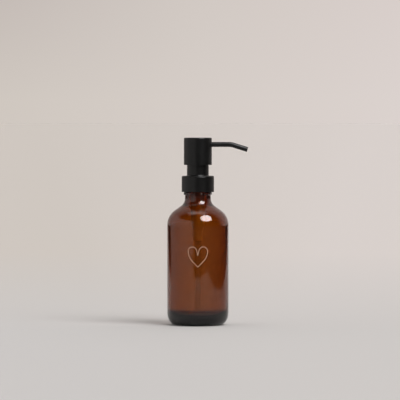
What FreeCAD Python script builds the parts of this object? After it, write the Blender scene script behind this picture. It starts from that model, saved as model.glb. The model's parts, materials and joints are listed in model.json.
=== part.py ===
"""Soap pump dispenser: an amber glass bottle with a black steel-clad lotion pump.

Frame: millimetres, +Z up, origin at the centre of the bottle's foot. The nozzle points along +X and
the printed heart faces -Y. Every piece is modelled at rest: collar screwed down, head up, valves closed.
"""
import FreeCAD, Part
import math
import os

Vec = FreeCAD.Vector
UP = Vec(0, 0, 1)
AXIS = Vec(0, 0, 0)

# ---------------------------------------------------------------- driving dimensions: clearances
slip = 0.05            # radial gap of parts pushed together, and of the piston in its cylinder
running = 0.1          # radial gap of parts that turn or slide on each other
neck_play = 0.3        # radial gap of the pump in the bottle's neck
seat_gap = 0.05        # axial gap of faces that rest on each other
stop_gap = 0.1         # axial gap left at a travel stop
rim_clearance = 0.6    # axial gap that the pressed head leaves over the collar
edge_round = 0.3       # small moulded edges

# ---------------------------------------------------------------- driving dimensions: bottle
body_radius = 30.85
straight_height = 87.08
body_wall = 2.5
base_thickness = 7.6
heel_width = 8.5
heel_height = 13.0
inner_heel_radius = 9.0
foot_width = 3.6
push_up = 2.6
shoulder_radius = 18.5
shoulder_slope = math.radians(54.5)      # of the line between shoulder and neck, from the vertical
neck_fillet = 9.0
neck_radius = 13.0
neck_straight = 3.3
neck_bore_radius = 9.7
bead_overhang = 1.35
bead_height = 3.0
bead_round = 1.3
bead_lead = 0.3                          # slope of the bead's underside
finish_step = 0.3                        # the finish is this much slimmer than the neck
finish_height = 10.3
lip_round = 0.8
lip_round_share = 0.45                   # at most this share of the lip is rounded on each side

# ---------------------------------------------------------------- driving dimensions: screw thread
thread_pitch = 4.233                     # six turns to the inch
thread_depth = 1.15
thread_crest = 1.1
thread_root = 2.3
thread_turns = 1.1
thread_margin = 1.5                      # from the bead up to the bottle's thread
cap_thread_margin = 0.15                 # from the cap's rim up to its thread
thread_play = 0.3                        # radial
thread_bite = 0.25                       # how deep a ridge is rooted in its wall

# ---------------------------------------------------------------- driving dimensions: printed heart
heart_width = 19.4
heart_height = 20.0
heart_cleft = 8.4
heart_lobe_radius = 4.3
heart_flank_radius = 14.0
heart_line = 0.7
heart_ink = 0.08
heart_centre_z = 69.5

# ---------------------------------------------------------------- driving dimensions: closure
steel = 0.45
collar_height = 16.15
collar_round = 1.2
cap_wall = 1.6
cap_plate = 2.4
cap_recess = 0.35                        # the plastic rim stops this far inside the steel rim
chimney_wall = 1.0
chimney_cover = 2.5                      # how far the chimney stands inside the raised head
gasket_thickness = 1.4

# ---------------------------------------------------------------- driving dimensions: pump housing
cylinder_radius = 6.0
cylinder_wall = 1.0
flange_thickness = 1.6
housing_taper_round = 3.0
housing_step_round = 1.5
housing_seat_round = 2.0
neck_plug = 7.5                          # length of the housing's taper under its flange
mouth_wall = 2.2
mouth_height = 5.5
vent_radius = 0.6
vent_drop = 2.4                          # from the resting piston's top edge
cage_height = 1.5
cage_ledge = 1.0
cage_lap = 0.55                          # how far the cage reaches inward of the spring
cage_bar = 1.3
ball_radius = 2.38
ball_travel = 2.0
ball_room = 0.8                          # radial gap round the ball
seat_width = 0.28                        # from the ball's line of contact in to the inlet's edge
inlet_length = 1.0
tube_radius = 3.0
tube_wall = 0.75
tube_socket_depth = 9.0
socket_wall = 1.4
tube_foot_gap = 2.5
tube_cut_slope = math.radians(35)

# ---------------------------------------------------------------- driving dimensions: stem guide
guide_skirt = 1.1
guide_plate = 1.5
guide_sleeve_depth = 7.6
guide_tower_wall = 2.8
wiper_height = 1.6
wiper_width = 1.5

# ---------------------------------------------------------------- driving dimensions: plunger
stroke = 10.4
stem_radius = 3.6
stem_wall = 1.4
stem_collar_gap = 1.0                    # radial, to the cylinder
stem_collar_height = 2.2
port_radius = 0.7
piston_height = 8.6
piston_relief = 0.85                     # depth of the piston's waist
piston_lip = 0.9                         # height of the wiping band at each end
piston_flare = 2.6                       # height of each end, band and cone together
piston_groove = 1.4                      # depth and half width of the groove behind each lip
piston_groove_half = 0.5
valve_lag = 0.9                          # the piston's free travel on the stem
rod_disc = 1.2
rod_cup_gap = 0.45
rod_rim_height = 1.9
rod_rim_wall = 0.7
rod_spigot_height = 5.5
rod_boss_height = 4.0
rod_boss_gap = 0.95
flute_width = 0.9
spring_side_gap = 1.15
spring_wire = 0.9
spring_turns = 9.0
spring_reserve = 7.6                     # left in the spring at full stroke

# ---------------------------------------------------------------- driving dimensions: head
head_gap = 2.6                           # radial, from the chimney to the head's inside
head_steel = 0.5
head_round = 1.0
rim_round = 0.15
core_height = 13.25
core_wall = 1.6
core_plate = 2.4
core_hub_wall = 2.5
core_rib = 1.6
core_rib_rise = 1.5
socket_floor = 0.6                       # between the stem's end and the nozzle
nozzle_drop = 6.85                       # from the head's top to the nozzle's axis
nozzle_radius = 2.5
nozzle_wall = 0.5
nozzle_seat = 3.5                        # from the head's axis to the nozzle's inner end
nozzle_knee = 33.7                       # from the head's axis to the corner of the bend
nozzle_leg = 16.9
nozzle_slope = math.radians(17.5)
nozzle_bend = 18.0
nozzle_boss_wall = 1.7
channel_inset = 0.2                      # the core's channel is this much slimmer than the stem's bore
liner_wall = 0.6

# ---------------------------------------------------------------- worked-out sizes: bottle and closure
foot_outer = body_radius - heel_width
foot_inner = foot_outer - foot_width
inside_radius = body_radius - body_wall
bead_radius = neck_radius + bead_overhang
finish_radius = neck_radius - finish_step
lip_edge = min(lip_round, lip_round_share * (finish_radius - neck_bore_radius))
shoulder_start = heel_height + straight_height
shoulder_corner = shoulder_start + shoulder_radius * math.tan(shoulder_slope / 2)
neck_corner = shoulder_corner + (body_radius - neck_radius) / math.tan(shoulder_slope)
bead_bottom = neck_corner + neck_fillet * math.tan(shoulder_slope / 2) + neck_straight
bead_top = bead_bottom + bead_height
thread_start = bead_top + thread_margin + thread_root / 2
lip_top = bead_top + finish_height
gasket_bottom = lip_top + seat_gap
flange_bottom = gasket_bottom + gasket_thickness + seat_gap
flange_top = flange_bottom + flange_thickness
plate_bottom = flange_top + stop_gap
plate_top = plate_bottom + cap_plate
collar_top = plate_top + seat_gap + steel
collar_bottom = collar_top - collar_height
cap_bottom = collar_bottom + cap_recess
cap_inside = finish_radius + thread_depth + thread_play
collar_radius = cap_inside + cap_wall + slip + steel

# ---------------------------------------------------------------- worked-out sizes: guide, chimney, head
mouth_radius = cylinder_radius + mouth_wall
mouth_top = flange_top + mouth_height
guide_radius = mouth_radius + slip + guide_skirt
guide_bore = stem_radius + running
guide_plate_bottom = mouth_top + seat_gap
guide_sleeve_bottom = guide_plate_bottom - guide_sleeve_depth
chimney_bore = guide_radius + running
chimney_radius = chimney_bore + chimney_wall + slip + steel
head_bottom = collar_top + stroke + rim_clearance
chimney_top = head_bottom + chimney_cover
guide_top = chimney_top - stop_gap
wiper_radius = guide_bore + wiper_width
core_bottom = chimney_top + stroke + rim_clearance
core_top = core_bottom + core_height
head_top = core_top + seat_gap + head_steel
head_radius = chimney_radius + head_gap + head_steel
core_radius = head_radius - head_steel - slip
nozzle_z = head_top - nozzle_drop

# ---------------------------------------------------------------- worked-out sizes: plunger and valves
stem_bore = stem_radius - stem_wall
stem_top = nozzle_z - nozzle_radius - socket_floor
stem_collar_top = guide_sleeve_bottom - stop_gap
stem_collar_bottom = stem_collar_top - stem_collar_height
piston_top = stem_collar_bottom - stop_gap - valve_lag
piston_bottom = piston_top - piston_height
rod_rim_top = piston_bottom - seat_gap
rod_cup_floor = rod_rim_top - rod_rim_height
rod_bottom = rod_cup_floor - rod_disc
rod_cup_radius = stem_radius + rod_cup_gap
stem_bottom = rod_cup_floor + seat_gap
spring_radius = cylinder_radius - spring_side_gap - spring_wire / 2
spring_top = rod_bottom - seat_gap
spring_bottom = spring_top - (stroke + (spring_turns + 1) * spring_wire + spring_reserve)
cage_top = spring_bottom - seat_gap
cage_bottom = cage_top - cage_height
cage_radius = cylinder_radius - cage_ledge
cage_opening = spring_radius - spring_wire / 2 - cage_lap
chamber_radius = ball_radius + ball_room
ball_centre = cage_bottom - stop_gap - ball_radius - ball_travel
# the seat is a 45 degree cone: the ball meets it where its own surface slopes at 45 degrees
contact_radius = ball_radius / math.sqrt(2)
contact_z = ball_centre - contact_radius - seat_gap * math.sqrt(2)
inlet_radius = contact_radius - seat_width
seat_bottom = contact_z - seat_width
seat_top = seat_bottom + chamber_radius - inlet_radius
socket_radius = tube_radius + socket_wall
socket_top = seat_bottom - inlet_length
socket_bottom = socket_top - tube_socket_depth
tube_top = socket_top - seat_gap
tube_bottom = base_thickness + tube_foot_gap


# ---------------------------------------------------------------- drawing helpers
def at(r, z):
    return Vec(r, 0, z)


def rounded_path(corners):
    """Edges through (r, z) or (r, z, radius) corners; a radius rounds its corner with a tangent arc."""
    points = [at(corner[0], corner[1]) for corner in corners]
    edges = []
    here = points[0]
    for i in range(1, len(corners)):
        corner = points[i]
        radius = corners[i][2] if len(corners[i]) > 2 and i < len(corners) - 1 else 0
        if radius:
            back = (points[i - 1] - corner).normalize()
            on = (points[i + 1] - corner).normalize()
            half = back.getAngle(on) / 2
            leaves = corner + back * (radius / math.tan(half))
            joins = corner + on * (radius / math.tan(half))
            middle = corner + (back + on).normalize() * (radius / math.sin(half) - radius)
            if (leaves - here).Length > 1e-6:
                edges.append(Part.LineSegment(here, leaves).toShape())
            edges.append(Part.Arc(leaves, middle, joins).toShape())
            here = joins
        else:
            if (corner - here).Length > 1e-6:
                edges.append(Part.LineSegment(here, corner).toShape())
            here = corner
    return edges


def lathe(edges):
    """A solid turned about Z from a closed run of edges in the XZ plane."""
    return Part.Face(Part.Wire(edges)).revolve(AXIS, UP, 360)


def turned(corners):
    """A solid of revolution with the (r, z[, radius]) corners; the run closes back to its start."""
    return lathe(rounded_path(list(corners) + [corners[0][:2]]))


def rod(radius, bottom, top):
    return Part.makeCylinder(radius, top - bottom, at(0, bottom), UP)


def cross_rod(radius, start, end, z):
    """A cylinder along +X at height z, from x = start to x = end."""
    return Part.makeCylinder(radius, end - start, at(start, z), Vec(1, 0, 0))


def bar(start, end, width, bottom, top):
    """A box along +X, from x = start to x = end."""
    return Part.makeBox(end - start, width, top - bottom, Vec(start, -width / 2, bottom))


def around(shape, count, first=0.0):
    """Copies of a shape spaced evenly about Z."""
    copies = []
    for i in range(count):
        copy = shape.copy()
        copy.rotate(AXIS, UP, first + 360.0 * i / count)
        copies.append(copy)
    return copies


def thread(wall_radius, crest_radius, start_z, start_degrees):
    """A right-hand ridge rooted in a wall, standing outward or inward to its crest."""
    rooted = math.copysign(thread_bite, wall_radius - crest_radius)
    widening = thread_bite * (thread_root - thread_crest) / thread_depth
    half_root = (thread_root + widening) / 2
    half_crest = thread_crest / 2
    corners = [at(wall_radius + rooted, -half_root), at(crest_radius, -half_crest)]
    corners += [at(crest_radius, half_crest), at(wall_radius + rooted, half_root)]
    section = Part.makePolygon(corners + [corners[0]])
    helix = Part.makeHelix(thread_pitch, thread_pitch * thread_turns, wall_radius)
    ridge = helix.makePipeShell([section], True, True)
    ridge.rotate(AXIS, UP, start_degrees)
    ridge.translate(at(0, start_z))
    return ridge


def swept_round(radius, path):
    """A round bar along a wire that starts along +X."""
    start = path.Vertexes[0].Point
    circle = Part.Wire(Part.Circle(start, Vec(1, 0, 0), radius).toShape())
    return path.makePipeShell([circle], True, False)


# ---------------------------------------------------------------- bottle
def glass_outline():
    """The bottle's section: foot and outside up to the lip, then the inside back down to the axis."""
    dome_radius = (foot_inner**2 + push_up**2) / (2 * push_up)
    half_way = foot_inner / 2
    dome_drop = dome_radius - math.sqrt(dome_radius**2 - half_way**2)
    dome = Part.Arc(at(0, push_up), at(half_way, push_up - dome_drop), at(foot_inner, 0)).toShape()
    foot = Part.LineSegment(at(foot_inner, 0), at(foot_outer, 0)).toShape()
    heel_curve = Part.Ellipse(at(foot_outer, 0), at(body_radius, heel_height), at(foot_outer, heel_height))
    heel = Part.ArcOfEllipse(heel_curve, 0, math.pi / 2).toShape()
    # the inner slope runs one wall inside the outer slope
    inner_drop = body_wall / math.sin(shoulder_slope)
    inner_neck_corner = neck_corner + (neck_radius - neck_bore_radius) / math.tan(shoulder_slope) - inner_drop
    inner_shoulder_corner = shoulder_corner + body_wall / math.tan(shoulder_slope) - inner_drop
    walls = rounded_path([
        (body_radius, heel_height),
        (body_radius, shoulder_corner, shoulder_radius),
        (neck_radius, neck_corner, neck_fillet),
        (neck_radius, bead_bottom, edge_round),
        (bead_radius, bead_bottom + bead_lead, bead_round),
        (bead_radius, bead_top, bead_round),
        (finish_radius, bead_top, finish_step),
        (finish_radius, lip_top, lip_edge),
        (neck_bore_radius, lip_top, lip_edge),
        (neck_bore_radius, inner_neck_corner, neck_fillet),
        (inside_radius, inner_shoulder_corner, shoulder_radius - body_wall),
        (inside_radius, base_thickness, inner_heel_radius),
        (0, base_thickness),
    ])
    axis = Part.LineSegment(at(0, base_thickness), at(0, push_up)).toShape()
    return [dome, foot, heel] + walls + [axis]


def glass_bottle():
    ridge = thread(finish_radius, finish_radius + thread_depth, thread_start, 0)
    return lathe(glass_outline()).fuse(ridge).removeSplitter()


def touch_point(point, centre, radius, turn):
    """Where a line from point touches a circle, on the side that turn (+1 or -1) names."""
    to_centre = centre - point
    lean = turn * math.asin(radius / to_centre.Length)
    reach = math.sqrt(to_centre.Length**2 - radius**2)
    angle = math.atan2(to_centre.z, to_centre.x) + lean
    return point + at(math.cos(angle), math.sin(angle)) * reach


def arc_about(centre, start, end):
    """The shorter arc about a centre from start to end, in the XZ plane."""
    radius = (start - centre).Length
    middle_way = ((start - centre) + (end - centre)).normalize()
    return Part.Arc(start, centre + middle_way * radius, end).toShape()


def heart_wire():
    """A plain symmetric heart about its own middle: on each side a line, a lobe, a flank and a line."""
    top = heart_height / 2
    half_width = heart_width / 2
    cleft = at(0, top - heart_cleft)
    tip = at(0, -top)
    lobe_centre = at(half_width - heart_lobe_radius, top - heart_lobe_radius)
    side = at(half_width, lobe_centre.z)
    flank_centre = at(half_width - heart_flank_radius, lobe_centre.z)
    lobe_start = touch_point(cleft, lobe_centre, heart_lobe_radius, 1)
    flank_end = touch_point(tip, flank_centre, heart_flank_radius, -1)
    right = [
        Part.LineSegment(cleft, lobe_start).toShape(),
        arc_about(lobe_centre, lobe_start, side),
        arc_about(flank_centre, side, flank_end),
        Part.LineSegment(flank_end, tip).toShape(),
    ]
    left = [edge.mirror(AXIS, Vec(1, 0, 0)) for edge in reversed(right)]
    return Part.Wire(right + left)


def heart_print():
    """A thin line of ink that follows the glass."""
    outline = heart_wire()
    outer = Part.Face(outline.makeOffset2D(heart_line / 2))
    inner = Part.Face(outline.makeOffset2D(-heart_line / 2))
    line = outer.cut(inner)
    line.translate(Vec(0, -2 * body_radius, heart_centre_z))
    stamp = line.extrude(Vec(0, 2 * body_radius, 0))
    low = heart_centre_z - heart_height
    high = heart_centre_z + heart_height
    skin = rod(body_radius + heart_ink, low, high).cut(rod(body_radius, low, high))
    return stamp.common(skin)


# ---------------------------------------------------------------- closure
def collar_shell():
    """One drawn steel piece: the collar and the chimney that the head slides over."""
    inside = collar_radius - steel
    bore = chimney_radius - steel
    return turned([
        (collar_radius - steel / 2, collar_bottom),
        (collar_radius, collar_bottom, rim_round),
        (collar_radius, collar_top, collar_round),
        (chimney_radius, collar_top, collar_round),
        (chimney_radius, chimney_top, rim_round),
        (bore, chimney_top, rim_round),
        (bore, collar_top - steel, collar_round + steel),
        (inside, collar_top - steel, collar_round - steel),
        (inside, collar_bottom, rim_round),
    ])


def threaded_cap():
    """The moulded closure inside the steel: skirt with thread, plate and chimney lining."""
    outside = collar_radius - steel - slip
    lining = chimney_radius - steel - slip
    lining_top = chimney_top - stop_gap
    hole = mouth_radius + neck_play
    body = turned([
        (outside - cap_wall / 2, cap_bottom),
        (outside, cap_bottom),
        (outside, plate_top, collar_round - steel),
        (lining, plate_top),
        (lining, lining_top),
        (chimney_bore, lining_top, edge_round),
        (chimney_bore, plate_top),
        (hole, plate_top),
        (hole, plate_bottom),
        (cap_inside, plate_bottom, edge_round),
        (cap_inside, cap_bottom, edge_round),
    ])
    # the cap's ridge lies half a pitch under the bottle's at every angle
    ridge_start = cap_bottom + cap_thread_margin + thread_root / 2
    turns_ahead = (ridge_start - thread_start) / thread_pitch + 0.5
    ridge = thread(cap_inside, cap_inside - thread_depth, ridge_start, 360 * turns_ahead)
    return body.fuse(ridge).removeSplitter()


def neck_gasket():
    top = gasket_bottom + gasket_thickness
    inner = neck_bore_radius + slip
    return turned([
        (inner, gasket_bottom), (finish_radius, gasket_bottom, edge_round / 2),
        (finish_radius, top, edge_round / 2), (inner, top),
    ])


# ---------------------------------------------------------------- pump engine
def pump_housing():
    outer = cylinder_radius + cylinder_wall
    plug = neck_bore_radius - neck_play
    body = turned([
        (mouth_radius - edge_round, mouth_top),
        (mouth_radius, mouth_top, edge_round),
        (mouth_radius, flange_top, edge_round),
        (finish_radius, flange_top, edge_round),
        (finish_radius, flange_bottom, edge_round),
        (plug, flange_bottom),
        (outer, flange_bottom - neck_plug, housing_taper_round),
        (outer, cage_top, housing_step_round),
        (socket_radius, seat_bottom, housing_seat_round),
        (socket_radius, socket_bottom, edge_round),
        (tube_radius, socket_bottom, edge_round),
        (tube_radius, socket_top),
        (inlet_radius, socket_top),
        (inlet_radius, seat_bottom),
        (chamber_radius, seat_top),
        (chamber_radius, cage_bottom),
        (cage_radius + slip, cage_bottom),
        (cage_radius + slip, cage_top),
        (cylinder_radius, cage_top),
        (cylinder_radius, mouth_top, edge_round),
    ])
    vent = Part.makeCylinder(vent_radius, 2 * outer, at(0, piston_top - vent_drop), Vec(0, 1, 0))
    return body.cut(vent)


def stem_guide():
    """The snap-on bush that closes the cylinder, steers the stem and holds the collar on."""
    tower = guide_bore + guide_tower_wall
    sleeve = cylinder_radius - slip
    skirt_bottom = plate_top + stop_gap
    wiper_pocket = wiper_radius + slip
    return turned([
        (sleeve - edge_round, guide_sleeve_bottom),
        (sleeve, guide_sleeve_bottom, edge_round),
        (sleeve, guide_plate_bottom),
        (mouth_radius + slip, guide_plate_bottom),
        (mouth_radius + slip, skirt_bottom),
        (guide_radius, skirt_bottom, edge_round),
        (guide_radius, guide_plate_bottom + guide_plate, edge_round),
        (tower, guide_plate_bottom + guide_plate, 2 * edge_round),
        (tower, guide_top, edge_round),
        (wiper_pocket, guide_top),
        (wiper_pocket, guide_top - wiper_height - seat_gap),
        (guide_bore, guide_top - wiper_height - seat_gap),
        (guide_bore, guide_sleeve_bottom, edge_round),
    ])


def stem_wiper():
    """A soft ring in the guide's mouth whose lip keeps wash water out of the pump."""
    foot = guide_top - wiper_height
    relief = guide_bore + wiper_width / 2
    return turned([
        (relief, foot), (wiper_radius, foot), (wiper_radius, guide_top, edge_round),
        (relief, guide_top), (relief, foot + wiper_height / 2), (guide_bore, guide_top),
        (guide_bore, foot + wiper_height / 2),
    ])


def dip_tube():
    outer = tube_radius - slip
    tube = rod(outer, tube_bottom, tube_top).cut(rod(outer - tube_wall, tube_bottom, tube_top))
    # the slanted foot keeps the tube from sealing itself against the glass
    rise = 2 * tube_radius * math.tan(tube_cut_slope)
    wedge = Part.Face(Part.makePolygon([
        at(-tube_radius, tube_bottom), at(tube_radius, tube_bottom),
        at(tube_radius, tube_bottom + rise), at(-tube_radius, tube_bottom),
    ]))
    wedge.translate(Vec(0, -tube_radius, 0))
    return tube.cut(wedge.extrude(Vec(0, 2 * tube_radius, 0)))


def ball_cage():
    """The ring that carries the spring; its crossed bars keep the ball in its chamber."""
    ring = rod(cage_radius, cage_bottom, cage_top).cut(rod(cage_opening, cage_bottom, cage_top))
    reach = (cage_opening + cage_radius) / 2
    bars = around(bar(-reach, reach, cage_bar, cage_bottom, cage_top), 4)
    return ring.fuse(bars[:2]).removeSplitter()


def inlet_ball():
    return Part.makeSphere(ball_radius, at(0, ball_centre))


def return_spring():
    rise = spring_top - spring_bottom - spring_wire
    helix = Part.makeHelix(rise / spring_turns, rise, spring_radius)
    # the wire's section stands square to the coil's first direction, in quarters
    climb = math.atan2(rise / spring_turns, 2 * math.pi * spring_radius)
    along = Vec(0, math.cos(climb), math.sin(climb))
    circle = Part.Circle(at(spring_radius, 0), along, spring_wire / 2)
    quarters = [Part.Arc(circle, math.radians(a), math.radians(a + 90)).toShape() for a in (0, 90, 180, 270)]
    coil = helix.makePipeShell([Part.Wire(quarters)], True, True)
    coil.translate(at(0, spring_bottom + spring_wire / 2))
    return coil


# ---------------------------------------------------------------- plunger
def stem():
    collar_edge = cylinder_radius - stem_collar_gap
    tube = turned([
        (stem_bore, stem_bottom), (stem_radius, stem_bottom, edge_round),
        (stem_radius, stem_collar_bottom),
        (collar_edge, stem_collar_bottom, edge_round),
        (collar_edge, stem_collar_top, edge_round),
        (stem_radius, stem_collar_top), (stem_radius, stem_top, edge_round), (stem_bore, stem_top),
    ])
    port = cross_rod(port_radius, 0, 2 * stem_radius, rod_cup_floor + rod_rim_height / 2)
    for drilling in around(port, 4, 45):
        tube = tube.cut(drilling)
    return tube


def valve_rod():
    """The fluted plug in the stem's foot. The piston rests on its rim and closes the stem's ports."""
    spigot = stem_bore - slip
    rim_radius = rod_cup_radius + rod_rim_wall
    boss = spring_radius - spring_wire / 2 - rod_boss_gap
    spigot_top = rod_cup_floor + rod_spigot_height
    body = turned([
        (0, rod_bottom - rod_boss_height),
        (boss, rod_bottom - rod_boss_height, 2 * edge_round),
        (boss, rod_bottom),
        (rim_radius, rod_bottom, edge_round),
        (rim_radius, rod_rim_top),
        (rod_cup_radius, rod_rim_top),
        (rod_cup_radius, rod_cup_floor),
        (spigot, rod_cup_floor),
        (spigot, spigot_top, edge_round),
        (0, spigot_top),
    ])
    flute = bar(spigot / 2, 2 * spigot, flute_width, rod_cup_floor + seat_gap, spigot_top)
    for groove in around(flute.common(rod(rod_cup_radius, rod_cup_floor, spigot_top)), 4, 45):
        body = body.cut(groove)
    return body


def piston():
    """A waisted sleeve that slides on the stem, with a grooved wiping lip at each end."""
    lip = cylinder_radius - slip
    bore = stem_radius + slip
    waist = lip - piston_relief
    groove = (bore + lip) / 2
    return turned([
        (bore, piston_bottom),
        (groove - piston_groove_half, piston_bottom),
        (groove, piston_bottom + piston_groove),
        (groove + piston_groove_half, piston_bottom),
        (lip, piston_bottom),
        (lip, piston_bottom + piston_lip),
        (waist, piston_bottom + piston_flare),
        (waist, piston_top - piston_flare),
        (lip, piston_top - piston_lip),
        (lip, piston_top),
        (groove + piston_groove_half, piston_top),
        (groove, piston_top - piston_groove),
        (groove - piston_groove_half, piston_top),
        (bore, piston_top),
    ])


# ---------------------------------------------------------------- head
def nozzle_path():
    """The nozzle's axis: level, then down through one bend."""
    ease = nozzle_bend * math.tan(nozzle_slope / 2)
    down = at(math.cos(nozzle_slope), -math.sin(nozzle_slope))
    knee = at(nozzle_knee, nozzle_z)
    enters = knee - at(ease, 0)
    leaves = knee + down * ease
    middle_way = at(math.sin(nozzle_slope / 2), math.cos(nozzle_slope / 2))
    middle = enters - at(0, nozzle_bend) + middle_way * nozzle_bend
    first = Part.LineSegment(at(nozzle_seat, nozzle_z), enters).toShape()
    bend = Part.Arc(enters, middle, leaves).toShape()
    last = Part.LineSegment(leaves, knee + down * nozzle_leg).toShape()
    return Part.Wire([first, bend, last])


def nozzle_tube():
    path = nozzle_path()
    return swept_round(nozzle_radius, path).cut(swept_round(nozzle_radius - nozzle_wall, path))


def nozzle_liner():
    path = nozzle_path()
    outer = nozzle_radius - nozzle_wall - slip
    return swept_round(outer, path).cut(swept_round(outer - liner_wall, path))


def head_shell():
    inner = head_radius - head_steel
    cup = turned([
        (0, head_top), (head_radius, head_top, head_round), (head_radius, head_bottom, rim_round),
        (inner, head_bottom, rim_round), (inner, head_top - head_steel, head_round - head_steel),
        (0, head_top - head_steel),
    ])
    return cup.cut(cross_rod(nozzle_radius + slip, 0, 2 * head_radius, nozzle_z))


def actuator_core():
    """The moulded insert: a plate, a skirt, a hub for the stem and a boss for the nozzle, with ribs."""
    plate_bottom_z = core_top - core_plate
    socket = stem_radius + slip
    skirt_inside = core_radius - core_wall
    boss_radius = nozzle_radius + nozzle_boss_wall
    blank = turned([
        (0, core_bottom), (core_radius, core_bottom, edge_round),
        (core_radius, core_top, head_round - head_steel), (0, core_top),
    ])
    body = blank.cut(rod(skirt_inside, core_bottom, plate_bottom_z))
    hub = rod(socket + core_hub_wall, core_bottom, core_top)
    boss = cross_rod(boss_radius, 0, core_radius, nozzle_z)
    ribs = around(bar(0, core_radius, core_rib, core_bottom + core_rib_rise, core_top), 4)
    body = body.fuse([hub, boss] + ribs).common(blank)
    channel = stem_bore - channel_inset
    body = body.cut(rod(socket, core_bottom, stem_top + seat_gap))
    body = body.cut(rod(channel, core_bottom, nozzle_z))
    body = body.cut(cross_rod(channel, 0, nozzle_seat, nozzle_z))
    body = body.cut(cross_rod(nozzle_radius + slip, nozzle_seat - seat_gap, 2 * core_radius, nozzle_z))
    return body.removeSplitter()


PIECES = [
    glass_bottle, heart_print, collar_shell, threaded_cap, neck_gasket, pump_housing, stem_guide,
    stem_wiper, dip_tube, ball_cage, inlet_ball, return_spring, stem, valve_rod, piston, head_shell,
    actuator_core, nozzle_tube, nozzle_liner,
]


def main():
    os.makedirs("parts", exist_ok=True)
    for piece in PIECES:
        shape = piece()
        if not shape.isValid() or not shape.Solids:
            raise ValueError(f"{piece.__name__} is not a sound solid")
        shape.exportStep(f"parts/{piece.__name__}.step")
        print(f"{piece.__name__:16s} solids {len(shape.Solids)}  volume {shape.Volume:10.2f} mm3")
    print(f"head {head_bottom:.2f} to {head_top:.2f}, collar {collar_bottom:.2f} to {collar_top:.2f}")
    print(f"spring {spring_bottom:.2f} to {spring_top:.2f}, tube {tube_bottom:.2f} to {tube_top:.2f}")


main()
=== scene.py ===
"""Soap pump dispenser: materials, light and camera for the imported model, in its own frame."""
import json
import math

import bmesh
import bpy
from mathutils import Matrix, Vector


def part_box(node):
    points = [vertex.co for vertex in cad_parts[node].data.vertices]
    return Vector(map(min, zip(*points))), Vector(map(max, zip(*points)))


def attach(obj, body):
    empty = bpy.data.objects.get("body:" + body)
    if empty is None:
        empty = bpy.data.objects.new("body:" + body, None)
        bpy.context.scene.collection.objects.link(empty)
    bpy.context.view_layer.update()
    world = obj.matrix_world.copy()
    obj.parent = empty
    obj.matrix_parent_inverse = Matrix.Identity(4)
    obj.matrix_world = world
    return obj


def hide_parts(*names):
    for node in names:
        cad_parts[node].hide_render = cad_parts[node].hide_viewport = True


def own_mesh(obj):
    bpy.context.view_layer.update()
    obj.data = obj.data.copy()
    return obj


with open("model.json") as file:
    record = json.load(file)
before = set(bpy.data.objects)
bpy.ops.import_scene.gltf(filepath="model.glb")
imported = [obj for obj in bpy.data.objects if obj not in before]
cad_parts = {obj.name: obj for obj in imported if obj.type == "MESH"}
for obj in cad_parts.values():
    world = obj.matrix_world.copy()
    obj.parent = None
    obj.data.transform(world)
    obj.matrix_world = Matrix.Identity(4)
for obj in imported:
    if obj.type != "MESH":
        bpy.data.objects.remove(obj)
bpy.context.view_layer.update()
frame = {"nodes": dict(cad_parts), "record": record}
nodes = frame["nodes"]

MM = 0.001

# ------------------------------------------------------------------ camera
CAMERA_DISTANCE = 3.4                       # in front of the bottle's axis
CAMERA_HEIGHT = 0.225
CAMERA_LENS = 305.0
SENSOR_WIDTH = 36.0
AIM = (0.00215, 0.0, 0.1254)

# ------------------------------------------------------------------ light
KEY_DIRECTION = (0.458, -0.520, 0.719)      # from the object towards the light
KEY_ANGLE = math.radians(40)
KEY_STRENGTH = 1.75
KEY_COLOUR = (1.0, 0.972, 0.955)
GLOSS_STRENGTH = 3.6                        # second lamp in the same place, for reflections only
GLOSS_COLOUR = (0.97, 0.97, 1.0)

# The surround is laid out by direction: its X, Y and Z are those of a unit vector.
BACKDROP_LOW = ((0.625, 0.573, 0.525), (0.708, 0.644, 0.617))     # left and right, at the horizon
BACKDROP_HIGH = ((0.545, 0.490, 0.460), (0.635, 0.580, 0.543), (0.685, 0.615, 0.590))
BACKDROP_TONE_SPREAD = 0.06                 # X at which its outer tones are reached
BACKDROP_HIGH_FROM = 0.035                  # Z at which its high tones are reached
BACKDROP_FADE = (-0.05, 0.35)               # Y over which it comes in
DIM_ROOM = (0.030, 0.028, 0.026)

PANEL_COLOUR = (0.79, 0.765, 0.745)
PANEL_FRONT_EDGE = math.radians(17.5)       # of the white panel on the left, from the front
PANEL_BACK_EDGE = math.radians(119)
PANEL_FRONT_SOFTNESS = math.radians(1)
PANEL_BACK_SOFTNESS = math.radians(2)
PANEL_TOP = 0.47                            # Z of its top edge, at the front
PANEL_TOP_RISE = 0.0775                     # a radian, towards its back
PANEL_TOP_SOFTNESS = 0.02

SOFT_BOX_COLOUR = (1.60, 1.55, 1.55)        # overhead
SOFT_BOX_HALF_WIDTH = 0.36
SOFT_BOX_WIDTH_SOFTNESS = 0.08
SOFT_BOX_HALF_DEPTH = 0.20
SOFT_BOX_DEPTH_SOFTNESS = 0.06
HORIZON_SOFTNESS = 0.05

# ------------------------------------------------------------------ floor
FLOOR_RADIUS = 30.0
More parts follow.
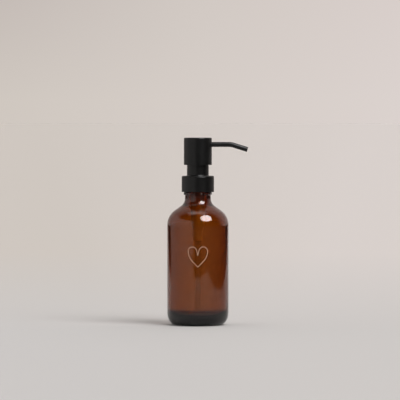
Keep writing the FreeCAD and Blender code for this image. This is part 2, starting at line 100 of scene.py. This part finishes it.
# painted shade: near-black floor beyond the paper, for the unlit room seen in reflections
FLOOR_PAINTED_SHADE = (0.022, 0.020, 0.019)
PAPER_NEAR_WITH_PAINTED_LIGHT = ((0.692, 0.695, 0.692), (0.706, 0.706, 0.700))       # left and right of the object: pale paper with painted light and shade, slightly darker on the left
PAPER_FAR_WITH_PAINTED_LIGHT = ((0.715, 0.687, 0.645), (0.796, 0.765, 0.746))        # far behind it: painted shade on the left and painted light on the right, lighter than near
PAPER_BLEND = (-0.1, 1.6)                   # Y over which the near painted light and shade turns into the far one
PAPER_LIGHT_FAN_ORIGIN = 2.0                     # in front; the painted light and shade to the left and right fans out from there
PAPER_LIGHT_FAN_SPREAD = 0.05                    # slope at which they are reached
PAPER_HALF_WIDTH = 0.68                     # beside the object
PAPER_SPREAD = 0.25                         # it widens by this share of the way back
PAPER_FRONT = 0.95
PAPER_SOFTNESS = 0.04                       # of its edges

# ------------------------------------------------------------------ glass and spring
GLASS_TINT = (0.812, 0.628, 0.005)
GLASS_DENSITY = 1600.0                      # of what the glass takes out of the light, per metre
SEAM_HALF_WIDTH = 0.25 * MM                 # of the mould seam, which lies in the nozzle's plane
SEAM_CREST = 0.3                            # share of that half that is flat on top

SPRING_WIRE = 0.9 * MM
SPRING_TURNS = 9.0
SPRING_END_TURN = 0.75                      # flat stretch at either end, in turns
SPRING_END_PITCH = 1.02                     # there, in wires a turn


# ------------------------------------------------------------------ node helpers
def feed(tree, node, inputs):
    """Sets inputs of a node to values, or links sockets to them."""
    for key, value in inputs.items():
        if isinstance(value, bpy.types.NodeSocket):
            tree.links.new(value, node.inputs[key])
        else:
            node.inputs[key].default_value = value


def add(tree, kind, inputs=None, **settings):
    """A node of a kind, with its settings and inputs."""
    node = tree.nodes.new(kind)
    for key, value in settings.items():
        setattr(node, key, value)
    feed(tree, node, inputs or {})
    return node


def new_material(name):
    """A material with a Principled shader, and its node tree."""
    material = bpy.data.materials.new(name)
    material.use_nodes = True
    tree = material.node_tree
    return material, tree, tree.nodes["Principled BSDF"]


def place(tree, stretch=(1.0, 1.0, 1.0)):
    """Position on the piece, in its own metres, stretched along the axes."""
    where = add(tree, "ShaderNodeTexCoord").outputs["Object"]
    return add(tree, "ShaderNodeMapping", {"Vector": where, "Scale": stretch}).outputs["Vector"]


def axes(tree, vector):
    """X, Y and Z of a vector, by name."""
    return add(tree, "ShaderNodeSeparateXYZ", {0: vector}).outputs


def noise(tree, where, scale, detail=3.0, roughness=0.5, distortion=0.0):
    """Fractal noise from 0 to 1; the scale is in features per metre."""
    inputs = {"Vector": where, "Scale": scale, "Detail": detail, "Roughness": roughness,
              "Distortion": distortion}
    return add(tree, "ShaderNodeTexNoise", inputs).outputs["Fac"]


def cells(tree, where, scale, randomness=1.0):
    """Distance to the nearest cell centre."""
    inputs = {"Vector": where, "Scale": scale, "Randomness": randomness}
    return add(tree, "ShaderNodeTexVoronoi", inputs).outputs["Distance"]


def fit(tree, value, low, high, start=0.3, end=0.7):
    """Maps a value from start..end to low..high."""
    inputs = {"Value": value, "From Min": start, "From Max": end, "To Min": low, "To Max": high}
    return add(tree, "ShaderNodeMapRange", inputs).outputs["Result"]


def step_up(tree, value, edge, softness):
    """0 below an edge and 1 above it."""
    return fit(tree, value, 0.0, 1.0, edge - softness, edge + softness)


def compute(tree, operation, *values):
    """The result of a maths operation."""
    inputs = dict(enumerate(values))
    return add(tree, "ShaderNodeMath", inputs, operation=operation).outputs["Value"]


def opposite(tree, value):
    """0 where a value is 1, and 1 where it is 0."""
    return compute(tree, "SUBTRACT", 1.0, value)


def within(tree, value, half, softness):
    """1 where a value is nearer to 0 than half."""
    return opposite(tree, step_up(tree, compute(tree, "ABSOLUTE", value), half, softness))


def ramp(tree, value, *stops):
    """Colour from a value, through stops of (position, colour)."""
    node = add(tree, "ShaderNodeValToRGB", {"Fac": value})
    elements = node.color_ramp.elements
    while len(elements) < len(stops):
        elements.new(0.5)
    for element, (position, colour) in zip(elements, stops):
        element.position = position
        element.color = (*colour, 1.0)
    return node.outputs["Color"]


def even_ramp(tree, value, *colours):
    """Colour from a value of 0 to 1, through evenly spaced colours."""
    last = len(colours) - 1
    return ramp(tree, value, *((index / last, colour) for index, colour in enumerate(colours)))


def blend_colours(tree, share, first, second):
    """From the first colour to the second, as the share goes from 0 to 1."""
    mix = add(tree, "ShaderNodeMix", data_type="RGBA")
    factor, colour_a, colour_b = 0, 6, 7    # the mix node repeats its input names for each data type
    feed(tree, mix, {factor: share, colour_a: first, colour_b: second})
    return mix.outputs[2]


def bump(tree, height, depth, below=None, strength=1.0):
    """Surface relief of a depth in metres, on top of another relief."""
    inputs = {"Height": height, "Distance": depth, "Strength": strength}
    if below is not None:
        inputs["Normal"] = below
    return add(tree, "ShaderNodeBump", inputs).outputs["Normal"]


def edges(tree, radius):
    """1 on convex edges and 0 on flat faces, from the normals within a radius in metres."""
    rounded = add(tree, "ShaderNodeBevel", {"Radius": radius}, samples=4).outputs["Normal"]
    plain = add(tree, "ShaderNodeNewGeometry").outputs["Normal"]
    inputs = {0: rounded, 1: plain}
    likeness = add(tree, "ShaderNodeVectorMath", inputs, operation="DOT_PRODUCT").outputs["Value"]
    return fit(tree, likeness, 1.0, 0.0, start=0.80, end=0.995)


# ------------------------------------------------------------------ materials
def amber_glass():
    """Brown soda glass with faint waves and a seam from the mould, and a touch of handling haze."""
    material, tree, shader = new_material("amber_glass")
    wave = noise(tree, place(tree, stretch=(1.0, 1.0, 0.35)), scale=55.0, detail=1.5)
    off_seam = compute(tree, "ABSOLUTE", axes(tree, place(tree))["Y"])
    seam = fit(tree, off_seam, 1.0, 0.0, SEAM_HALF_WIDTH * SEAM_CREST, SEAM_HALF_WIDTH)
    skin = noise(tree, place(tree), scale=420.0, detail=2.0)
    haze = noise(tree, place(tree), scale=38.0, detail=4.0, roughness=0.6, distortion=0.4)
    relief = bump(tree, wave, depth=0.12 * MM, strength=0.35)
    relief = bump(tree, seam, depth=0.05 * MM, below=relief, strength=0.6)
    relief = bump(tree, skin, depth=0.004 * MM, below=relief, strength=0.25)
    hazy, clean = (0.955, 0.945, 0.93), (1.0, 1.0, 1.0)
    feed(tree, shader, {
        "Base Color": ramp(tree, haze, (0.25, hazy), (0.75, clean)),
        "Roughness": fit(tree, haze, 0.0, 0.012),
        "Normal": relief,
        "Transmission Weight": 1.0,
        "IOR": 1.52,
    })
    inside = add(tree, "ShaderNodeVolumeAbsorption",
                 {"Color": (*GLASS_TINT, 1.0), "Density": GLASS_DENSITY})
    feed(tree, tree.nodes["Material Output"], {"Volume": inside.outputs["Volume"]})
    return material


def heart_ink():
    """Screen-printed cream ink: a matt film with the mesh's grain and slightly thin patches."""
    material, tree, shader = new_material("heart_ink")
    grain = cells(tree, place(tree), scale=5200.0, randomness=0.35)
    patches = noise(tree, place(tree), scale=900.0, detail=3.0)
    cover = compute(tree, "MULTIPLY_ADD", grain, 0.5, patches)
    full, thin = (0.62, 0.40, 0.28), (0.47, 0.28, 0.19)
    feed(tree, shader, {
        "Base Color": ramp(tree, cover, (0.35, full), (0.95, thin)),
        "Roughness": fit(tree, patches, 0.5, 0.68),
        "Normal": bump(tree, grain, depth=0.02 * MM, strength=0.5),
    })
    return material


def black_steel():
    """Matt black lacquer on drawn steel: orange peel, fine grit, faint smears and burnished edges."""
    material, tree, shader = new_material("black_steel")
    peel = noise(tree, place(tree), scale=1500.0, detail=2.0)
    grit = noise(tree, place(tree), scale=7000.0, detail=2.0, roughness=0.6)
    smear = noise(tree, place(tree, stretch=(1.0, 1.0, 0.45)), scale=95.0, detail=5.0, roughness=0.62,
                  distortion=0.6)
    edge = edges(tree, radius=0.6 * MM)
    deep, smeared = (0.0020, 0.0020, 0.0019), (0.0038, 0.0037, 0.0036)
    lacquer = ramp(tree, smear, (0.3, deep), (0.7, smeared))
    burnished = (0.035, 0.034, 0.033)
    wear = compute(tree, "MULTIPLY", edge, 0.5)
    polish = compute(tree, "MULTIPLY", edge, 0.08)
    relief = bump(tree, peel, depth=0.03 * MM, strength=0.35)
    relief = bump(tree, grit, depth=0.008 * MM, below=relief, strength=0.5)
    feed(tree, shader, {
        "Base Color": blend_colours(tree, wear, lacquer, (*burnished, 1.0)),
        "Roughness": compute(tree, "SUBTRACT", fit(tree, smear, 0.28, 0.38), polish),
        "Normal": relief,
        "IOR": 1.5,
        "Specular IOR Level": 0.30,
    })
    return material


def moulded(name, dark, light, smooth, rough, clear=0.0, index=1.49):
    """Injection-moulded plastic: spark-eroded skin, slow flow marks and a little sink."""
    material, tree, shader = new_material(name)
    skin = cells(tree, place(tree), scale=4200.0)
    flow = noise(tree, place(tree, stretch=(1.0, 1.0, 0.3)), scale=160.0, detail=4.0, roughness=0.55,
                 distortion=0.8)
    relief = bump(tree, flow, depth=0.08 * MM, strength=0.25)
    relief = bump(tree, skin, depth=0.015 * MM, below=relief, strength=0.6)
    feed(tree, shader, {
        "Base Color": ramp(tree, flow, (0.3, dark), (0.7, light)),
        "Roughness": fit(tree, flow, smooth, rough),
        "Normal": relief,
        "Transmission Weight": clear,
        "IOR": index,
    })
    return material


def grey_rubber():
    """Soft seal: matt, with a bloom of fine specks."""
    material, tree, shader = new_material("grey_rubber")
    bloom = noise(tree, place(tree), scale=2600.0, detail=5.0, roughness=0.7)
    bare, bloomed = (0.10, 0.10, 0.105), (0.19, 0.19, 0.195)
    feed(tree, shader, {
        "Base Color": ramp(tree, bloom, (0.35, bare), (0.7, bloomed)),
        "Roughness": fit(tree, bloom, 0.62, 0.82),
        "Normal": bump(tree, bloom, depth=0.02 * MM, strength=0.7),
    })
    return material


def spring_steel():
    """Drawn stainless wire: fine die lines and a warm film from coiling."""
    material, tree, shader = new_material("spring_steel")
    lines = noise(tree, place(tree, stretch=(1.0, 1.0, 9.0)), scale=1500.0, detail=3.0, roughness=0.6)
    film = noise(tree, place(tree), scale=260.0, detail=3.0)
    warm, bright = (0.50, 0.47, 0.43), (0.63, 0.61, 0.58)
    feed(tree, shader, {
        "Base Color": ramp(tree, film, (0.3, warm), (0.7, bright)),
        "Roughness": fit(tree, lines, 0.18, 0.36),
        "Normal": bump(tree, lines, depth=0.008 * MM, strength=0.6),
        "Metallic": 1.0,
    })
    return material


MATERIALS = {
    "amber_glass": amber_glass(),
    "heart_ink": heart_ink(),
    "black_steel": black_steel(),
    "black_plastic": moulded("black_plastic", dark=(0.010, 0.010, 0.010), light=(0.016, 0.016, 0.017),
                             smooth=0.42, rough=0.56),
    "white_plastic": moulded("white_plastic", dark=(0.84, 0.84, 0.82), light=(0.90, 0.90, 0.89),
                             smooth=0.34, rough=0.48),
    "clear_plastic": moulded("clear_plastic", dark=(0.93, 0.93, 0.92), light=(0.97, 0.97, 0.97),
                             smooth=0.10, rough=0.18, clear=0.92, index=1.12),
    "grey_rubber": grey_rubber(),
    "spring_steel": spring_steel(),
}


def dress(piece, material):
    """Gives a piece one material in place of any that it has."""
    piece.data.materials.clear()
    piece.data.materials.append(material)


for entry in frame["record"]["subparts"]:
    dress(nodes[entry["node"]], MATERIALS[entry["material_slot"]])


# ------------------------------------------------------------------ new pieces
def new_piece(name, points):
    """An object in the scene, from the points and faces of a bmesh."""
    mesh = bpy.data.meshes.new(name)
    points.to_mesh(mesh)
    points.free()
    piece = bpy.data.objects.new(name, mesh)
    bpy.context.scene.collection.objects.link(piece)
    return piece


def coil_rise(turn, turns, rise, wire):
    """Height of a compression spring's centre line after some turns; both ends lie flat."""
    pitch = wire * SPRING_END_PITCH
    flat = pitch * SPRING_END_TURN
    if turn < SPRING_END_TURN:
        return pitch * turn
    if turn > turns - SPRING_END_TURN:
        return rise - pitch * (turns - turn)
    share = (turn - SPRING_END_TURN) / (turns - 2 * SPRING_END_TURN)
    return flat + share * (rise - 2 * flat)


def coil_mesh(name, radius, bottom, top, wire, turns, steps=48, sides=14):
    """Closed mesh of a compression spring."""
    count = int(turns * steps)
    points = bmesh.new()
    rings = []
    for step in range(count + 1):
        turn = turns * step / count
        angle = 2 * math.pi * turn
        out = Vector((math.cos(angle), math.sin(angle), 0))
        height = bottom + wire / 2 + coil_rise(turn, turns, top - bottom - wire, wire)
        centre = out * radius + Vector((0, 0, height))
        ring = []
        for side in range(sides):
            around = 2 * math.pi * side / sides
            offset = out * math.cos(around) + Vector((0, 0, math.sin(around)))
            ring.append(points.verts.new(centre + offset * wire / 2))
        rings.append(ring)
    for first, second in zip(rings, rings[1:]):
        for side in range(sides):
            after = (side + 1) % sides
            points.faces.new((first[side], second[side], second[after], first[after]))
    points.faces.new(rings[0])
    points.faces.new(list(reversed(rings[-1])))
    bmesh.ops.recalc_face_normals(points, faces=points.faces)
    piece = new_piece(name, points)
    for face in piece.data.polygons:
        face.use_smooth = len(face.vertices) == 4       # the sides, and not the two cut ends
    return piece


spring_low, spring_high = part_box("return_spring")
spring = coil_mesh("coil_spring", (spring_high.x - spring_low.x - SPRING_WIRE) / 2, spring_low.z,
                   spring_high.z, SPRING_WIRE, SPRING_TURNS)
dress(spring, MATERIALS["spring_steel"])
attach(spring, "pump_engine")
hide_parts("return_spring")
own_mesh(spring)


# ------------------------------------------------------------------ studio
def left_turn(tree, x, y):
    """Angle of a direction from the front, positive to the left."""
    forward = compute(tree, "MULTIPLY", y, -1.0)
    left = compute(tree, "MULTIPLY", x, -1.0)
    return compute(tree, "ARCTAN2", left, forward)


def beside(tree, turn):
    """1 where the white panel stands on the left."""
    near = step_up(tree, turn, PANEL_FRONT_EDGE, PANEL_FRONT_SOFTNESS)
    far = step_up(tree, turn, PANEL_BACK_EDGE, PANEL_BACK_SOFTNESS)
    return compute(tree, "SUBTRACT", near, far)


def paper_cover(tree, at, back):
    """1 where the floor is covered: a strip that runs back under the object, and below the panel; 0
    where the floor gets painted shade.
    """
    half = compute(tree, "ADD", compute(tree, "MULTIPLY", back, PAPER_SPREAD), PAPER_HALF_WIDTH)
    inside = compute(tree, "SUBTRACT", half, compute(tree, "ABSOLUTE", at["X"]))
    strip = compute(tree, "MULTIPLY", step_up(tree, inside, 0.0, PAPER_SOFTNESS),
                    step_up(tree, at["Y"], -PAPER_FRONT, PAPER_SOFTNESS))
    return compute(tree, "MAXIMUM", strip, beside(tree, left_turn(tree, at["X"], at["Y"])))


def paper_colour_with_painted_light(tree, at, back):
    """Pale paper with painted light and shade, from left to right and from near to far."""
    slope = compute(tree, "DIVIDE", at["X"], compute(tree, "ADD", back, PAPER_LIGHT_FAN_ORIGIN))
    across = fit(tree, slope, 0.0, 1.0, -PAPER_LIGHT_FAN_SPREAD, PAPER_LIGHT_FAN_SPREAD)
    near, far = (even_ramp(tree, across, *tones) for tones in (PAPER_NEAR_WITH_PAINTED_LIGHT, PAPER_FAR_WITH_PAINTED_LIGHT))
    return blend_colours(tree, fit(tree, at["Y"], 0.0, 1.0, *PAPER_BLEND), near, far)


def floor():
    """A wide round floor: pale paper where it lies, and near-black painted shade elsewhere, standing
    in for the unlit room seen in reflections.
    """
    points = bmesh.new()
    bmesh.ops.create_circle(points, cap_ends=True, segments=96, radius=FLOOR_RADIUS)
    sheet = new_piece("floor", points)
    material, tree, shader = new_material("paper")
    at = axes(tree, place(tree))
    back = compute(tree, "MAXIMUM", at["Y"], 0.0)
    fibre = noise(tree, place(tree), scale=900.0, detail=4.0, roughness=0.6)
    feed(tree, shader, {
        # painted shade off the paper, and painted light and shade on it
        "Base Color": blend_colours(tree, paper_cover(tree, at, back), (*FLOOR_PAINTED_SHADE, 1.0),
                                    paper_colour_with_painted_light(tree, at, back)),
        "Roughness": fit(tree, fibre, 0.85, 0.95),
        "Specular IOR Level": 0.2,
    })
    dress(sheet, material)


def key_light(name, strength, colour, glossy_only=False):
    """A round soft box, far away on the front right."""
    data = bpy.data.lights.new(name, "SUN")
    data.energy = strength
    data.angle = KEY_ANGLE
    data.color = colour
    lamp = bpy.data.objects.new(name, data)
    lamp.visible_diffuse = not glossy_only
    lamp.rotation_mode = "QUATERNION"
    lamp.rotation_quaternion = Vector(KEY_DIRECTION).to_track_quat("Z", "Y")
    bpy.context.scene.collection.objects.link(lamp)


def backdrop_colour(tree, way):
    """Tones of the pale backdrop, from left to right and from the horizon up."""
    across = fit(tree, way["X"], 0.0, 1.0, -BACKDROP_TONE_SPREAD, BACKDROP_TONE_SPREAD)
    low, high = (even_ramp(tree, across, *tones) for tones in (BACKDROP_LOW, BACKDROP_HIGH))
    return blend_colours(tree, fit(tree, way["Z"], 0.0, 1.0, 0.0, BACKDROP_HIGH_FROM), low, high)


def panel_cover(tree, way):
    """1 where the white panel on the left is seen."""
    turn = left_turn(tree, way["X"], way["Y"])
    rise = compute(tree, "MULTIPLY", turn, PANEL_TOP_RISE)
    above = step_up(tree, compute(tree, "SUBTRACT", way["Z"], rise), PANEL_TOP, PANEL_TOP_SOFTNESS)
    return compute(tree, "MULTIPLY", beside(tree, turn), opposite(tree, above))


def soft_box_cover(tree, way):
    """1 where the soft box overhead is seen."""
    wide = within(tree, way["X"], SOFT_BOX_HALF_WIDTH, SOFT_BOX_WIDTH_SOFTNESS)
    deep = within(tree, way["Y"], SOFT_BOX_HALF_DEPTH, SOFT_BOX_DEPTH_SOFTNESS)
    up = step_up(tree, way["Z"], 0.0, HORIZON_SOFTNESS)
    return compute(tree, "MULTIPLY", compute(tree, "MULTIPLY", wide, deep), up)


def surround():
    """Pale backdrop behind, white panel on the left, soft box overhead, dim room elsewhere."""
    world = bpy.data.worlds.new("studio")
    world.use_nodes = True
    bpy.context.scene.world = world
    tree = world.node_tree
    way = axes(tree, add(tree, "ShaderNodeTexCoord").outputs["Generated"])
    behind = fit(tree, way["Y"], 0.0, 1.0, *BACKDROP_FADE)
    colour = blend_colours(tree, behind, (*DIM_ROOM, 1.0), backdrop_colour(tree, way))
    colour = blend_colours(tree, panel_cover(tree, way), colour, (*PANEL_COLOUR, 1.0))
    colour = blend_colours(tree, soft_box_cover(tree, way), colour, (*SOFT_BOX_COLOUR, 1.0))
    feed(tree, tree.nodes["Background"], {"Color": colour, "Strength": 1.0})


floor()
key_light("key", KEY_STRENGTH, KEY_COLOUR)
key_light("key_gloss", GLOSS_STRENGTH, GLOSS_COLOUR, glossy_only=True)
surround()

# ------------------------------------------------------------------ camera and view
camera_data = bpy.data.cameras.new("camera")
camera_data.lens = CAMERA_LENS
camera_data.sensor_width = SENSOR_WIDTH
camera = bpy.data.objects.new("camera", camera_data)
camera.location = (AIM[0], -CAMERA_DISTANCE, CAMERA_HEIGHT)
camera.rotation_mode = "QUATERNION"
camera.rotation_quaternion = (camera.location - Vector(AIM)).to_track_quat("Z", "Y")
bpy.context.scene.collection.objects.link(camera)
bpy.context.scene.camera = camera

scene = bpy.context.scene
scene.view_settings.view_transform = "Standard"
scene.cycles.use_denoising = True
scene.cycles.max_bounces = 24
scene.cycles.transmission_bounces = 16
scene.cycles.glossy_bounces = 8
scene.cycles.transparent_max_bounces = 16
